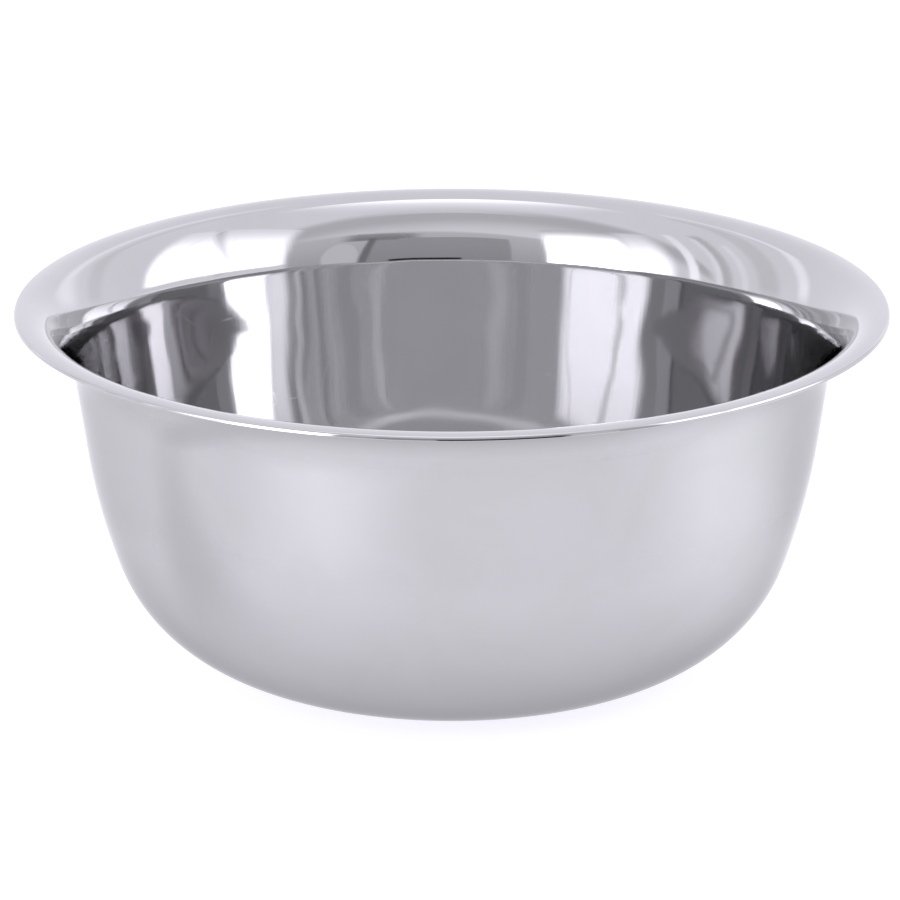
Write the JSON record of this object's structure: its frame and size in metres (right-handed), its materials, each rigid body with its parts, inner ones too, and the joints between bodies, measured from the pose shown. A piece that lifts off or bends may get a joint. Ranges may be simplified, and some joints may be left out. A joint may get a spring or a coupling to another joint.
{
  "type": "mixing bowl",
  "caption": "Round stainless steel mixing bowl with a flat base, a deep curved wall and a wide flared rim.",
  "frame": {"origin": "centre of the flat underside of the base, on the surface that the bowl stands on", "axes": "+Z is the bowl's axis of symmetry, from the base towards the open mouth; X and Y are free, because the bowl is round"},
  "size_m": [0.24, 0.24, 0.102],
  "materials": {
    "stainless_steel": "mirror-polished inside and on the rim, satin outside"
  },
  "bodies": {
    "root": {"bowl_shell": "stainless_steel"}
  },
  "joints": []
}
